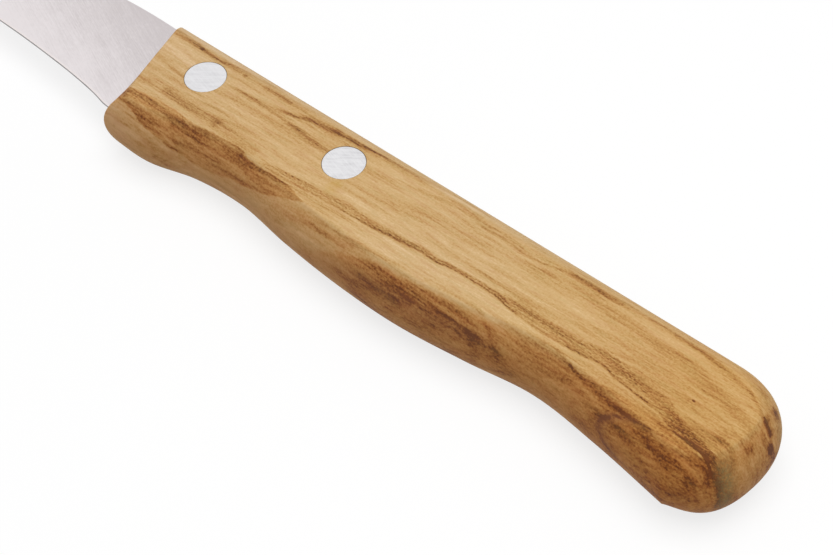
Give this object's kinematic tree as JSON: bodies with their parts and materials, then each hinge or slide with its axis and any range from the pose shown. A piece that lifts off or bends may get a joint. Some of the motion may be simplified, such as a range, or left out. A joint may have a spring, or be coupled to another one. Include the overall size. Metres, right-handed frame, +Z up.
{
  "type": "paring knife",
  "caption": "Small peeling and paring knife: curved satin steel blade with a tang, riveted into a contoured one-piece olive-wood handle.",
  "frame": {"origin": "middle of the whole knife's outline seen from above, on the surface that the knife lies on", "axes": "+X from the blade's tip to the butt of the handle, +Y from the cutting edge to the spine, +Z up through the handle's thickness"},
  "size_m": [0.1644, 0.0184, 0.0107],
  "materials": {
    "olive_wood": "sanded and lightly oiled, golden tan with darker brown growth lines along the length",
    "blade_steel": "satin, fine grind lines across the blade, with a narrow brighter bevel at the edge",
    "rivet_aluminium": "ground flush with the wood, faint scratches"
  },
  "bodies": {
    "root": {"handle": "olive_wood", "blade": "blade_steel", "front_rivet_post": "rivet_aluminium", "front_rivet_socket": "rivet_aluminium", "rear_rivet_post": "rivet_aluminium", "rear_rivet_socket": "rivet_aluminium"}
  },
  "joints": []
}
